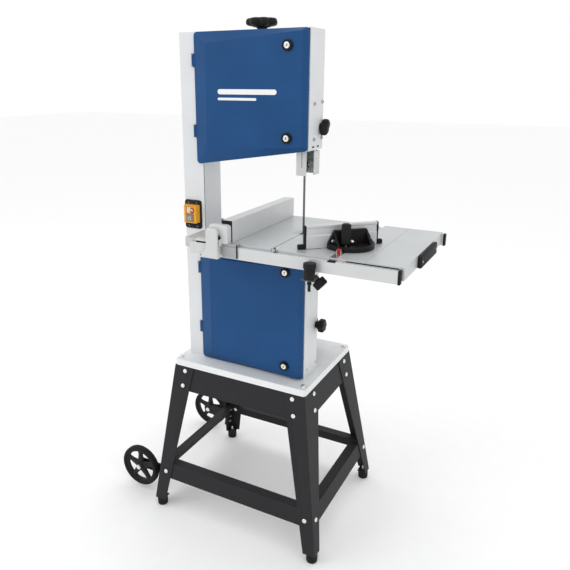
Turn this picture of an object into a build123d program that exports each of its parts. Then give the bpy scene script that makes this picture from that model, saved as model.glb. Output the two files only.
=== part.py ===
from build123d import *
import math
import os

# Band saw on a splayed four-legged stand. Millimetres, +X right, +Y back, +Z up.
# While it is drawn, x = 0 is the column's left face and y = 0 its front face;
# at the end everything moves so that the origin is the base centre of the whole box.

os.makedirs("parts", exist_ok=True)

# ---------------------------------------------------------------- driving dimensions
GAP = 0.3                                   # clearance between parts that move apart
PLATE_X = (-19.3, 447.3)                    # base plate
PLATE_Y = (-61.0, 306.5)
PLATE_TOP = 544.0
PLATE_H = 21.0
PLATE_BOLTS = ((-7.0, -40.0), (433.0, -40.0), (433.0, 286.0), (-7.0, 286.0))
LEG_TOP = PLATE_TOP - PLATE_H
LEG_BOTTOM = 28.0
FOOT_X = (-82.0, 520.0)                     # leg corner lines at the bottom
FOOT_Y = (-125.0, 379.0)
LEG_T = 3.0
SHEET = 2.5
COLUMN_W = 73.0
COLUMN_D = 95.0
MACHINE_TOP = 1547.0
HOUSING_X1 = 415.2
HOUSING_D = 93.7
UPPER_BOTTOM = (1178.6, 1231.0)             # height of the upper housing's base, left and right
LOWER_TOP = 905.0
DOOR_X = (55.0, 413.0)
DOOR_FACE = -20.0
DOOR_LOCK_X = 359.0
HINGE_X = 50.0
HINGE_Y = -5.0
UPPER_HINGES = ((1457, 1484), (1259, 1286))  # low and high end of each hinge barrel
LOWER_HINGES = ((838, 866), (637, 665))
UPPER_LOCKS = (1503, 1265)
LOWER_LOCKS = (884, 587)
WHEEL_X = 226.0
WHEEL_Y = 46.85                             # middle of wheels and blade
WHEEL_R = 157.2                             # over the tyre
UPPER_Z = 1377.0
LOWER_Z = 713.5
BLADE_T = 0.5
BLADE_W = 13.0
BLADE_X = WHEEL_X + WHEEL_R + GAP + BLADE_T / 2
SHAFT_R = 10.0
BEARING_R = 20.0
SCREW_X = 231.0
CARRIAGE_Y = (68.0, 86.0)
POST_X = (388.0, 402.0)
POST_Y = (70.0, 84.0)
GUARD_BOTTOM = 1160.0
MOTOR_X = 292.0
MOTOR_Z = 628.0
MOTOR_R = 66.0
PULLEY_Y = (63.0, 79.0)
WHEEL_PULLEY_R = 60.5
MOTOR_PULLEY_R = 35.0
TABLE_TOP = 990.65
TABLE_T = 8.0
TABLE_X = (108.0, 641.4)
TABLE_Y = (-156.0, 244.0)
SKIRT_H = 27.0
EXT_X1 = 739.8
RAIL_Z = (951.0, 984.0)
RAIL_X = (132.0, 728.0)
REAR_RAIL_RIGHT = 742.0
SLOT_X = 557.5
SLOT_W = 19.2
SLOT_H = 8.6
TRUNNION_R = 68.0
TRUNNION_Y = 85.5
CLAMP_X = 508.0                             # clamp handle under the front rail
CLAMP_Y = -187.0
TILT_KNOB = Vector(511, -150, 925.4)
TILT_KNOB_AXIS = Vector(math.cos(math.radians(42)), 0, -math.sin(math.radians(42)))
FENCE_RIGHT = 261.0
MITRE_Y = -36.0
MITRE_ANGLE = 44.2
KNOB_ORBIT = 33.0
TRANSPORT_X = -187.0
TRANSPORT_Z = 87.0
TRANSPORT_R = 75.0
TRANSPORT_Y = (-69.0, 390.0)
ARM_Y = (-52.0, 374.0)
PORT_X = 134.0                              # dust port
PORT_Z = 610.0
PORT_R = 50.0
GLAND_Y = 60.0                              # cable gland on the column
GLAND_Z = 640.0

parts = {}


# ---------------------------------------------------------------- small helpers
def block(x0, x1, y0, y1, z0, z1):
    return Pos((x0 + x1) / 2, (y0 + y1) / 2, (z0 + z1) / 2) * Box(x1 - x0, y1 - y0, z1 - z0)


def rod(start, end, radius):
    start = Vector(*start)
    axis = Vector(*end) - start
    solid = Cylinder(radius, axis.length, align=(Align.CENTER, Align.CENTER, Align.MIN))
    return Plane(origin=start, z_dir=axis) * solid


def tube(start, end, outer, inner):
    return rod(start, end, outer) - rod(start, end, inner)


def slab(points, direction, thickness):
    return extrude(make_face(Polyline(*points, close=True)), amount=thickness, dir=direction)


def front_plane(y):
    return Plane(origin=(0, y, 0), x_dir=(1, 0, 0), z_dir=(0, -1, 0))


def outline(points, radius):
    face = make_face(Polyline(*points, close=True))
    return fillet(face.vertices(), radius)


def extruded_y(points, radius, y0, y1):
    sketch = outline(points, radius) if radius else make_face(Polyline(*points, close=True))
    return extrude(front_plane(y1) * sketch, amount=y1 - y0)


def group(solids):
    return Compound(children=[s for item in solids for s in item.solids()])


def star_knob(radius, height, lobes):
    # lobed grip standing on z = 0, axis +Z, with a stepped-in crown
    def star(r):
        shape = Circle(radius * 0.8 - radius + r)
        for k in range(lobes):
            shape += Rot(0, 0, 360 * k / lobes) * Pos(radius * 0.66, 0) * Circle(radius * 0.34 - radius + r)
        return shape
    return extrude(star(radius), amount=height - 2) + extrude(star(radius - 2), amount=height)


def ribbed_knob(radius, height, ribs):
    body = Cylinder(radius - 1.2, height, align=(Align.CENTER, Align.CENTER, Align.MIN))
    rib = Cylinder(1.6, height - 2, align=(Align.CENTER, Align.CENTER, Align.MIN))
    for k in range(ribs):
        body += Rot(0, 0, 360 * k / ribs) * Pos(radius - 1.6, 0, 0) * rib
    return body


# ---------------------------------------------------------------- stand
def leg_corner(right, rear, z):
    t = (LEG_TOP - z) / (LEG_TOP - LEG_BOTTOM)
    x = PLATE_X[right] + (FOOT_X[right] - PLATE_X[right]) * t
    y = PLATE_Y[rear] + (FOOT_Y[rear] - PLATE_Y[rear]) * t
    return Vector(x, y, z)


def face_normal(side):
    # outward unit normals of the stand's four leaning sides
    run = LEG_TOP - LEG_BOTTOM
    lean = {"left": Vector(-1, 0, (PLATE_X[0] - FOOT_X[0]) / run),
            "right": Vector(1, 0, (FOOT_X[1] - PLATE_X[1]) / run),
            "front": Vector(0, -1, (PLATE_Y[0] - FOOT_Y[0]) / run),
            "rear": Vector(0, 1, (FOOT_Y[1] - PLATE_Y[1]) / run)}
    return lean[side].normalized()


def stand_bolt_places():
    # (point on the leg's outer face, outward normal) of every bolt in the stand
    places = []
    for right in (0, 1):
        for rear in (0, 1):
            inward_x = 1 - 2 * right
            inward_y = 1 - 2 * rear
            end_side = ("left", "right")[right]
            long_side = ("front", "rear")[rear]
            for z, along_x, along_y in ((508, 42, 60), (457, 42, 60), (137, 27, 20)):
                corner = leg_corner(right, rear, z)
                places.append((corner + Vector(inward_x * along_x, 0, 0), face_normal(long_side)))
                places.append((corner + Vector(0, inward_y * along_y, 0), face_normal(end_side)))
    return places


def drills():
    places = stand_bolt_places() + bracket_bolt_places()
    return [rod(p - n * 12, p + n * 12, 4.2) for p, n in places]


def foot_centre(right, rear):
    corner = leg_corner(right, rear, LEG_BOTTOM)
    return corner + Vector(17 * (1 - 2 * right), 17 * (1 - 2 * rear), 0)


def leg(right, rear):
    sx = 1 - 2 * right
    sy = 1 - 2 * rear
    top = leg_corner(right, rear, LEG_TOP)
    low = leg_corner(right, rear, LEG_BOTTOM)
    long_side = [top, top + Vector(72 * sx, 0, 0), low + Vector(41 * sx, 0, 0), low]
    long_flange = slab(long_side, (0, sy, 0), LEG_T)
    end_flange = slab([top, top + Vector(0, 98 * sy, 0), low + Vector(0, 36 * sy, 0), low], (sx, 0, 0), LEG_T)
    centre = foot_centre(right, rear)
    pad = Pos(centre.X, centre.Y, LEG_BOTTOM + 1.5) * Box(33, 33, 3)
    angle = long_flange + end_flange + pad
    angle -= rod(centre, centre + Vector(0, 0, 8), 4.6)
    return angle


def rail(side, z_high, z_low, flange, thickness):
    # pressed rail behind the leg flanges: a leaning web with a flat flange on top
    inset = LEG_T + 0.1
    if side in ("front", "rear"):
        rear = int(side == "rear")
        inward = Vector(0, 1 - 2 * rear, 0)
        ends = [(0, rear), (1, rear)]
        along = Vector(1, 0, 0)
        setback = inset + 0.4
    else:
        right = int(side == "right")
        inward = Vector(1 - 2 * right, 0, 0)
        ends = [(right, 0), (right, 1)]
        along = Vector(0, 1, 0)
        setback = inset + thickness + 0.6
    web = []
    for z in (z_high, z_low):
        a = leg_corner(*ends[0], z) + inward * inset + along * setback
        b = leg_corner(*ends[1], z) + inward * inset - along * setback
        web += [a, b] if z == z_high else [b, a]
    body = slab(web, inward, thickness)
    trim = 0 if side in ("front", "rear") else flange + 4
    a = web[0] + along * trim
    b = web[1] - along * trim
    body += slab([a, b, b + inward * flange, a + inward * flange], (0, 0, -1), thickness)
    return body


def carriage_bolt(point, normal):
    head = Cylinder(7.5, 4.6, align=(Align.CENTER, Align.CENTER, Align.MIN))
    head = fillet(head.edges().sort_by(Axis.Z)[-1], 3.4)
    head = Plane(origin=point, z_dir=normal) * head
    shank = rod(point - normal * 14, point, 4.0)
    nut_at = point - normal * 6.2
    nut = Plane(origin=nut_at - normal * 6.5, z_dir=normal) * extrude(RegularPolygon(7.4, 6), amount=6.5)
    return head + shank + nut


def levelling_foot(right, rear):
    c = foot_centre(right, rear)
    foot = Pos(c.X, c.Y, 0) * Cylinder(17, LEG_BOTTOM - 0.1, align=(Align.CENTER, Align.CENTER, Align.MIN))
    foot = fillet(foot.edges().sort_by(Axis.Z)[0], 2.5)
    foot = chamfer(foot.edges().sort_by(Axis.Z)[-1], 3.0)
    return foot - rod((c.X, c.Y, 15.5), (c.X, c.Y, 30), 4.2)


def foot_stud(right, rear):
    c = foot_centre(right, rear)
    nut = Pos(c.X, c.Y, LEG_BOTTOM + 3) * extrude(RegularPolygon(7.4, 6), amount=6.5)
    return rod((c.X, c.Y, 16), (c.X, c.Y, 47), 4.0) + nut


def stand():
    holes = drills()
    corners = [(right, rear) for right in (0, 1) for rear in (0, 1)]
    sides = ("front", "rear", "left", "right")
    parts["stand_legs"] = group([leg(*c) - holes for c in corners])
    top_rails = [rail(s, LEG_TOP - 0.5, 440, 30, SHEET) - holes - plate_drills() for s in sides]
    braces = [rail(s, 168, 113, 32, SHEET) - holes for s in sides]
    parts["stand_rails"] = group(top_rails + braces)
    parts["levelling_feet"] = group([levelling_foot(*c) for c in corners])


def fasteners():
    bolts = [carriage_bolt(p, n) for p, n in stand_bolt_places() + bracket_bolt_places()]
    bolts += [foot_stud(right, rear) for right in (0, 1) for rear in (0, 1)]
    parts["fasteners"] = group(bolts + plate_bolts() + wheel_axles() + housing_screws())


# ---------------------------------------------------------------- transport wheels
def bracket_bolt_places():
    # (point on the bracket tab's outer face, outward normal) of the bolts that hold each bracket
    out = face_normal("left")
    return [(Vector(leg_corner(0, 0, z).X - 3.1, arm_y - dy, z), out)
            for arm_y, dy in ((ARM_Y[0], 32), (ARM_Y[1], 20)) for z in (TRANSPORT_Z - 11, TRANSPORT_Z + 11)]


def wheel_bracket(arm_y):
    # a tab bolted to the left leg and a flat round-ended arm square to it
    z = TRANSPORT_Z
    half = 20
    high = Vector(leg_corner(0, 0, z + half).X - 0.1, arm_y, z + half)
    low = Vector(leg_corner(0, 0, z - half).X - 0.1, arm_y, z - half)
    arm = block(TRANSPORT_X, low.X - 10, arm_y - 3, arm_y, z - half, z + half)
    arm += rod((TRANSPORT_X, arm_y - 3, z), (TRANSPORT_X, arm_y, z), half)
    width = Vector(0, -46, 0)
    reach = Vector(-14, 0, 0)
    arm += slab([high, low, low + width, high + width], (-1, 0, 0), 3)
    arm += slab([high, low, low + reach, high + reach], (0, -1, 0), 3)
    arm -= [rod(p - n * 8, p + n * 8, 4.2) for p, n in bracket_bolt_places()]
    return arm - rod((TRANSPORT_X, arm_y - 5, z), (TRANSPORT_X, arm_y + 5, z), 5.2)


def transport_wheel(y):
    width = 26
    face = front_plane(y)
    disc = extrude(face * Circle(TRANSPORT_R), amount=width / 2, both=True)
    recess = extrude(face * Circle(TRANSPORT_R - 13), amount=width / 2, both=True)
    web = extrude(face * Circle(TRANSPORT_R - 12.5), amount=7, both=True)
    hub = extrude(face * Circle(15), amount=width / 2, both=True)
    window_outer = Circle(TRANSPORT_R - 15) - Circle(17)
    spokes = Sketch()
    for k in range(5):
        spokes += Rot(0, 0, 90 + 72 * k) * Pos(35, 0) * Rectangle(70, 15)
    windows = extrude(face * (window_outer - spokes), amount=9, both=True)
    wheel = disc - recess + (web - windows) + hub
    wheel = wheel - extrude(face * Circle(5.3), amount=width, both=True)
    return Pos(TRANSPORT_X, 0, TRANSPORT_Z) * wheel


def transport_gear():
    parts["wheel_brackets"] = group([wheel_bracket(y) for y in ARM_Y])
    parts["transport_wheel_front"] = transport_wheel(TRANSPORT_Y[0])
    parts["transport_wheel_rear"] = transport_wheel(TRANSPORT_Y[1])


def wheel_axles():
    bolts = []
    for arm, wheel, out in ((ARM_Y[0], TRANSPORT_Y[0], -1), (ARM_Y[1], TRANSPORT_Y[1], 1)):
        far = wheel + out * 13.4
        nut_from = arm if out < 0 else arm - 3
        axle = rod((TRANSPORT_X, nut_from - out * 7, TRANSPORT_Z), (TRANSPORT_X, far, TRANSPORT_Z), 5.0)
        head = rod((TRANSPORT_X, far, TRANSPORT_Z), (TRANSPORT_X, far + out * 4, TRANSPORT_Z), 9)
        nut = rod((TRANSPORT_X, nut_from, TRANSPORT_Z), (TRANSPORT_X, nut_from - out * 6, TRANSPORT_Z), 8.5)
        bolts.append(axle + head + nut)
    return bolts


# ---------------------------------------------------------------- base plate
def plate_drills():
    return [rod((x, y, 505), (x, y, PLATE_TOP + 1), 4.3) for x, y in PLATE_BOLTS]


def plate_bolts():
    bolts = []
    for x, y in PLATE_BOLTS:
        shank = rod((x, y, 510), (x, y, PLATE_TOP), 4.0)
        washer = rod((x, y, PLATE_TOP), (x, y, PLATE_TOP + 1.4), 9)
        head = Pos(x, y, PLATE_TOP + 1.4) * extrude(RegularPolygon(7.4, 6), amount=5)
        nut = Pos(x, y, 512.5) * extrude(RegularPolygon(7.4, 6), amount=6.5)
        bolts.append(shank + washer + head + nut)
    return bolts


def base_plate():
    (x0, x1), (y0, y1) = PLATE_X, PLATE_Y
    tray = block(x0, x1, y0, y1, LEG_TOP, PLATE_TOP)
    tray = fillet(tray.edges().filter_by(Axis.Z), 9)
    tray = fillet(tray.faces().sort_by(Axis.Z)[-1].edges(), 2)
    inner = block(x0 + SHEET, x1 - SHEET, y0 + SHEET, y1 - SHEET, LEG_TOP, PLATE_TOP - SHEET)
    parts["base_plate"] = tray - fillet(inner.edges().filter_by(Axis.Z), 7) - plate_drills()


# ---------------------------------------------------------------- frame
def upper_base(x):
    slope = (UPPER_BOTTOM[1] - UPPER_BOTTOM[0]) / (HOUSING_X1 - COLUMN_W)
    return UPPER_BOTTOM[0] + slope * (x - COLUMN_W)


def column():
    box = block(0, COLUMN_W, 0, COLUMN_D, PLATE_TOP, MACHINE_TOP)
    box = fillet(box.edges().filter_by(Axis.Z), 2)
    wall = 3.0
    box -= block(wall, COLUMN_W - wall, wall, COLUMN_D - wall, PLATE_TOP + wall, MACHINE_TOP - wall)
    for low, high in ((PLATE_TOP + 16, LOWER_TOP - 12), (UPPER_BOTTOM[0] + 14, MACHINE_TOP - 14)):
        box -= block(61, COLUMN_W + 1, -1, COLUMN_D - wall, low, high)
    box -= rod((-1, GLAND_Y, GLAND_Z), (4, GLAND_Y, GLAND_Z), 8.2)
    parts["column"] = box


def upper_housing():
    x0 = COLUMN_W + 0.1
    x1 = HOUSING_X1
    shell = extruded_y([(x0, upper_base(x0)), (x1, upper_base(x1)), (x1, MACHINE_TOP), (x0, MACHINE_TOP)],
                       0, 0, HOUSING_D)
    w = SHEET
    inner = extruded_y([(x0 - 1, upper_base(x0) + w), (x1 - w, upper_base(x1) + w),
                        (x1 - w, MACHINE_TOP - w), (x0 - 1, MACHINE_TOP - w)], 0, -1, HOUSING_D - w)
    shell -= inner
    for side in (-1, 1):
        x = WHEEL_X + side * 38
        shell += block(x - 5, x + 5, 68, HOUSING_D - w, 1300, 1450)
        shell += block(min(x, x - side * 11), max(x, x - side * 11), 87.0, HOUSING_D - w, 1300, 1450)
    clamp = block(384, 406, 66, HOUSING_D - w + 0.5, 1268, 1318)
    clamp -= block(POST_X[0] - GAP, POST_X[1] + GAP, POST_Y[0] - GAP, POST_Y[1] + GAP, 1260, 1330)
    shell += clamp
    shell -= block(366, HOUSING_X1 - w, 14, HOUSING_D - w - 1, 1200, 1236)
    stem_y = sum(POST_Y) / 2
    shell -= rod((395, stem_y, 1291), (430, stem_y, 1291), 4.6)
    shell -= rod((SCREW_X, 77, MACHINE_TOP - 10), (SCREW_X, 77, MACHINE_TOP + 5), 6.4)
    shell -= block(WHEEL_X - 7, WHEEL_X + 7, 80, HOUSING_D + 1, 1352, 1392)
    parts["upper_housing"] = shell


def lower_housing():
    x0 = COLUMN_W + 0.1
    x1 = HOUSING_X1
    shell = block(x0, x1, 0, HOUSING_D, PLATE_TOP, LOWER_TOP)
    w = SHEET
    shell -= block(x0 - 1, x1 - w, -1, HOUSING_D - w, PLATE_TOP + w, LOWER_TOP - w)
    shell -= block(BLADE_X - 6, BLADE_X + 6, 34, 60, LOWER_TOP - 10, LOWER_TOP + 10)
    shell += tube((WHEEL_X, 84, LOWER_Z), (WHEEL_X, HOUSING_D - w, LOWER_Z), 32, 14.2)
    shell -= rod((WHEEL_X, 80, LOWER_Z), (WHEEL_X, HOUSING_D + 1, LOWER_Z), 14.2)
    shell -= rod((MOTOR_X, 80, MOTOR_Z), (MOTOR_X, HOUSING_D + 1, MOTOR_Z), 20)
    shell -= rod((PORT_X, 80, PORT_Z), (PORT_X, HOUSING_D + 1, PORT_Z), 44)
    shell -= rod((400, 84, 695), (430, 84, 695), 4.6)
    parts["lower_housing"] = shell


def housing_screws():
    screws = []
    for y, z in ((34.5, 1355), (86, 1359), (34, 1260), (86, 1262), (20, 880), (86, 880), (20, 570), (86, 570)):
        head = rod((HOUSING_X1, y, z), (HOUSING_X1 + 3, y, z), 4.6)
        screws.append(head - Plane(origin=(HOUSING_X1 + 1.4, y, z), z_dir=(1, 0, 0)) *
                      extrude(RegularPolygon(2.5, 6), amount=3))
    return screws


# ---------------------------------------------------------------- doors
def door(outer, inner, locks, hinges):
    back = -1.0
    rim = -6.0
    skin = 2.0
    base = outline(outer, 11)
    face = outline(inner, 7)
    shell = extrude(front_plane(back) * base, amount=back - rim)
    shell += loft([(front_plane(rim) * base).face(), (front_plane(DOOR_FACE) * face).face()], ruled=True)
    base_in = offset(base, amount=-skin)
    face_in = offset(face, amount=-1.2)
    shell -= extrude(front_plane(back + 0.1) * base_in, amount=back - rim + 0.1)
    hollow_face = front_plane(DOOR_FACE + skin) * face_in
    shell -= loft([(front_plane(rim) * base_in).face(), hollow_face.face()], ruled=True)
    for z in locks:
        shell -= rod((DOOR_LOCK_X, -30, z), (DOOR_LOCK_X, 0, z), 5.0)
    for low, high in hinges:
        shell += block(HINGE_X, HINGE_X + 9, HINGE_Y - 2.5, HINGE_Y + 2.5, low, high)
        shell += rod((HINGE_X, HINGE_Y, low), (HINGE_X, HINGE_Y, high), 4.2)
    for low, high in hinges:
        shell -= rod((HINGE_X, HINGE_Y, low - 1), (HINGE_X, HINGE_Y, high + 1), 2.1)
    return shell


def door_lock(z):
    ring = rod((DOOR_LOCK_X, DOOR_FACE - GAP, z), (DOOR_LOCK_X, DOOR_FACE - 7, z), 14.5)
    ring = chamfer(ring.edges().sort_by(Axis.Y)[0], 1.6)
    stem = rod((DOOR_LOCK_X, DOOR_FACE - 2, z), (DOOR_LOCK_X, -4, z), 4.6)
    cam = block(DOOR_LOCK_X - 7, DOOR_LOCK_X + 22, -7.5, -4, z - 6, z + 6)
    return ring + stem + cam


def doors():
    x0, x1 = DOOR_X
    upper = [(x0, 1176), (x1, 1231.5), (x1, MACHINE_TOP - 0.5), (x0, MACHINE_TOP - 0.5)]
    upper_face = [(99, 1221), (401, 1242), (401, MACHINE_TOP - 8), (103, 1515)]
    parts["upper_door"] = door(upper, upper_face, UPPER_LOCKS, UPPER_HINGES)
    lower = [(x0, PLATE_TOP + 2), (x1, PLATE_TOP + 2), (x1, LOWER_TOP + 1), (x0, LOWER_TOP + 1)]
    lower_face = [(97, 574), (404, 553), (404, LOWER_TOP - 6), (97, LOWER_TOP - 14)]
    parts["lower_door"] = door(lower, lower_face, LOWER_LOCKS, LOWER_HINGES)
    pins = []
    for low, high in UPPER_HINGES + LOWER_HINGES:
        pin = rod((HINGE_X, HINGE_Y, low - 5), (HINGE_X, HINGE_Y, high + 5), 2.0)
        for a, b in ((low - 4.5, low - 0.5), (high + 0.5, high + 4.5)):
            pin += block(HINGE_X - 4, HINGE_X + 3, HINGE_Y - 3, -0.05, a, b)
        pins.append(pin)
    parts["door_hinge_pins"] = group(pins)
    parts["upper_door_lock_top"] = door_lock(UPPER_LOCKS[0])
    parts["upper_door_lock_bottom"] = door_lock(UPPER_LOCKS[1])
    parts["lower_door_lock_top"] = door_lock(LOWER_LOCKS[0])
    parts["lower_door_lock_bottom"] = door_lock(LOWER_LOCKS[1])


# ---------------------------------------------------------------- drive
def band_wheel(z, pulley):
    plane = front_plane(WHEEL_Y)
    rim_r = WHEEL_R - 3.7
    rim = extrude(plane * (Circle(rim_r) - Circle(rim_r - 9)), amount=13, both=True)
    web = extrude(plane * (Circle(rim_r - 8.5) - Circle(20)), amount=3.5, both=True)
    hole = Circle(23)
    for k in range(6):
        web -= extrude(plane * (Rot(0, 0, 60 * k) * Pos(89, 0) * hole), amount=5, both=True)
    wheel = rim + web + extrude(plane * Circle(33), amount=11, both=True)
    if pulley:
        wheel += rod((0, WHEEL_Y + 10, 0), (0, PULLEY_Y[1], 0), WHEEL_PULLEY_R)
        for k in range(4):
            y = PULLEY_Y[0] + 3 + k * 3
            wheel -= tube((0, y, 0), (0, y + 1.4, 0), WHEEL_PULLEY_R + 1, WHEEL_PULLEY_R - 1.2)
    wheel -= rod((0, WHEEL_Y - 30, 0), (0, WHEEL_Y + 50, 0), BEARING_R + 0.06)
    tyre = extrude(plane * (Circle(WHEEL_R) - Circle(rim_r + 0.02)), amount=12, both=True)
    return Pos(WHEEL_X, 0, z) * wheel, Pos(WHEEL_X, 0, z) * tyre


def bearing(y, z):
    return Pos(WHEEL_X, 0, z) * tube((0, y - 6, 0), (0, y + 6, 0), BEARING_R, SHAFT_R + 0.02)


def blade_loop():
    radius = WHEEL_R + GAP
    height = UPPER_Z - LOWER_Z
    band = SlotCenterToCenter(height, 2 * (radius + BLADE_T)) - SlotCenterToCenter(height, 2 * radius)
    loop = extrude(front_plane(WHEEL_Y) * (Rot(0, 0, 90) * band), amount=BLADE_W / 2, both=True)
    return Pos(WHEEL_X, 0, (UPPER_Z + LOWER_Z) / 2) * loop


def belt():
    def wrap(extra):
        small = Pos(MOTOR_X - WHEEL_X, MOTOR_Z - LOWER_Z) * Circle(MOTOR_PULLEY_R + extra)
        big = Circle(WHEEL_PULLEY_R + extra)
        return make_hull(big.edges() + small.edges())
    middle = sum(PULLEY_Y) / 2
    loop = extrude(front_plane(middle) * (wrap(3.2) - wrap(GAP)), amount=6.5, both=True)
    return Pos(WHEEL_X, 0, LOWER_Z) * loop


def motor():
    y0 = HOUSING_D + 0.1
    body = rod((MOTOR_X, y0 + 8, MOTOR_Z), (MOTOR_X, y0 + 118, MOTOR_Z), MOTOR_R - 3)
    for k in range(24):
        turn = Pos(MOTOR_X, 0, MOTOR_Z) * Rot(0, 15 * k, 0)
        body += turn * block(MOTOR_R - 5, MOTOR_R, y0 + 16, y0 + 110, -1, 1)
    body += rod((MOTOR_X, y0, MOTOR_Z), (MOTOR_X, y0 + 10, MOTOR_Z), MOTOR_R)
    body += rod((MOTOR_X, y0 + 110, MOTOR_Z), (MOTOR_X, y0 + 148, MOTOR_Z), MOTOR_R - 1)
    body -= tube((MOTOR_X, y0 + 144, MOTOR_Z), (MOTOR_X, y0 + 150, MOTOR_Z), 46, 10)
    body += block(MOTOR_X - 34, MOTOR_X + 34, y0 + 30, y0 + 96, MOTOR_Z + MOTOR_R - 8, MOTOR_Z + MOTOR_R + 22)
    body += rod((MOTOR_X, 60, MOTOR_Z), (MOTOR_X, y0 + 2, MOTOR_Z), 7.0)
    return body


def drive():
    upper, upper_tyre = band_wheel(UPPER_Z, False)
    lower, lower_tyre = band_wheel(LOWER_Z, True)
    parts["upper_wheel"] = upper
    parts["upper_tyre"] = upper_tyre
    parts["lower_wheel"] = lower
    parts["lower_tyre"] = lower_tyre
    shaft = Pos(WHEEL_X, 0, LOWER_Z) * rod((0, 30, 0), (0, HOUSING_D + 6, 0), SHAFT_R)
    shaft += Pos(WHEEL_X, 0, LOWER_Z) * rod((0, 78.6, 0), (0, HOUSING_D + 6, 0), 14)
    washer = Pos(WHEEL_X, 0, LOWER_Z) * tube((0, 33.5, 0), (0, 35.4, 0), 16, SHAFT_R + 0.02)
    parts["lower_shaft"] = group([shaft, bearing(42, LOWER_Z), bearing(68, LOWER_Z), washer])
    parts["saw_blade"] = blade_loop()
    parts["drive_belt"] = belt()
    parts["motor"] = motor()
    pulley = tube((0, PULLEY_Y[0], 0), (0, PULLEY_Y[1], 0), MOTOR_PULLEY_R, 7.06)
    pulley += tube((0, PULLEY_Y[0] - 1.2, 0), (0, PULLEY_Y[0], 0), MOTOR_PULLEY_R + 0.1, 7.06)
    parts["motor_pulley"] = Pos(MOTOR_X, 0, MOTOR_Z) * pulley
    knob = Plane(origin=(HOUSING_X1 + 9, 84, 695), z_dir=(1, 0, 0)) * star_knob(21, 20, 6)
    knob += rod((HOUSING_X1 + GAP, 84, 695), (HOUSING_X1 + 10, 84, 695), 11)
    parts["belt_tension_knob"] = knob + rod((HOUSING_X1 - 12, 84, 695), (HOUSING_X1 + 4, 84, 695), 4.0)


def wheel_carriage():
    y0, y1 = CARRIAGE_Y
    body = block(WHEEL_X - 32.5, WHEEL_X + 32.5, y0 + 1, y1, 1336, 1414)
    body += block(SCREW_X - 13, SCREW_X + 13, y0 + 1, y1, 1414, 1436)
    body -= rod((SCREW_X, 77, 1395), (SCREW_X, 77, 1440), 5.3)
    body += rod((WHEEL_X, 30, UPPER_Z), (WHEEL_X, y1, UPPER_Z), SHAFT_R)
    body -= rod((WHEEL_X, 82, UPPER_Z), (WHEEL_X, 90, UPPER_Z), 4.3)
    washer = Pos(WHEEL_X, 0, UPPER_Z) * tube((0, 33.5, 0), (0, 35.4, 0), 16, SHAFT_R + 0.02)
    parts["wheel_carriage"] = group([body, bearing(42, UPPER_Z), bearing(56, UPPER_Z), washer])
    knob = Plane(origin=(WHEEL_X, HOUSING_D + 8, UPPER_Z), z_dir=(0, 1, 0)) * star_knob(20, 18, 5)
    knob += rod((WHEEL_X, HOUSING_D + 1, UPPER_Z), (WHEEL_X, HOUSING_D + 9, UPPER_Z), 10)
    parts["tracking_knob"] = knob + rod((WHEEL_X, 83, UPPER_Z), (WHEEL_X, HOUSING_D + 2, UPPER_Z), 4.0)
    screw = rod((SCREW_X, 77, 1398), (SCREW_X, 77, MACHINE_TOP + 14), 5.0)
    wheel = Pos(SCREW_X, 77, MACHINE_TOP + 11) * star_knob(50, 24, 6)
    hub = rod((SCREW_X, 77, MACHINE_TOP + GAP), (SCREW_X, 77, MACHINE_TOP + 12), 17)
    parts["tension_handwheel"] = screw + wheel + hub


# ---------------------------------------------------------------- blade guides
def roller_guide(z, back_y):
    # block behind the blade, two side rollers and one thrust roller
    middle = BLADE_X
    side_r = 5.5
    half = BLADE_T / 2 + GAP
    body = block(middle - 5, middle + 18, back_y, back_y + 6, z - 14, z + 18)
    solids = []
    for sign in (-1, 1):
        x = middle + sign * (half + side_r)
        solids.append(rod((x, WHEEL_Y - 4, z - 6), (x, WHEEL_Y + 5, z - 6), side_r))
        body += rod((x, WHEEL_Y + 5, z - 6), (x, back_y + 1, z - 6), 3)
    thrust_y = WHEEL_Y + BLADE_W / 2 + GAP + 6.5
    solids.append(rod((middle - 4, thrust_y, z + 8), (middle + 4, thrust_y, z + 8), 6.5))
    body += block(middle + 4.05, middle + 9, thrust_y - 3, back_y + 1, z + 4, z + 12)
    return [body] + solids


def guides():
    z = GUARD_BOTTOM
    post = block(*POST_X, *POST_Y, z + 4, 1440)
    parts["guide_post"] = post
    parts["upper_guide"] = group(roller_guide(z + 20, POST_Y[0] - 6.1))
    guard = block(369.5, 400, 20, 22, z, 1385)
    guard -= block(385.4, 387.4, 19, 23, 1182, 1360)
    guard += block(369.5, 371.5, 20, 88, z, 1226)
    guard += block(369.5, 410.5, 86, 88, z, 1226)
    guard += block(408.5, 410.5, 50, 88, z, 1226)
    guard += block(408.5, 410.5, 50, 62, z, 1385)
    guard -= rod((400, 68, 1205), (420, 68, 1205), 3.4)
    parts["blade_guard"] = guard
    stem_y = sum(POST_Y) / 2
    boss = rod((HOUSING_X1 + GAP, stem_y, 1291), (HOUSING_X1 + 19, stem_y, 1291), 11)
    stem = rod((POST_X[1] + GAP + 0.1, stem_y, 1291), (HOUSING_X1 + 2, stem_y, 1291), 4.0)
    wing = extrude(Plane(origin=(HOUSING_X1 + 8, stem_y, 1291), x_dir=(0, 1, 0), z_dir=(1, 0, 0)) *
                   (Rot(0, 0, 60) * SlotOverall(56, 17)), amount=20)
    wing = fillet(wing.faces().sort_by(Axis.X)[-1].edges(), 3)
    parts["post_clamp_knob"] = boss + stem + wing
    lower = roller_guide(LOWER_TOP + 17, 66.1)
    lower[0] += block(BLADE_X - 5, BLADE_X + 18, 66.1, 78, LOWER_TOP + 0.1, LOWER_TOP + 6)
    parts["lower_guide"] = group(lower)


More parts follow.
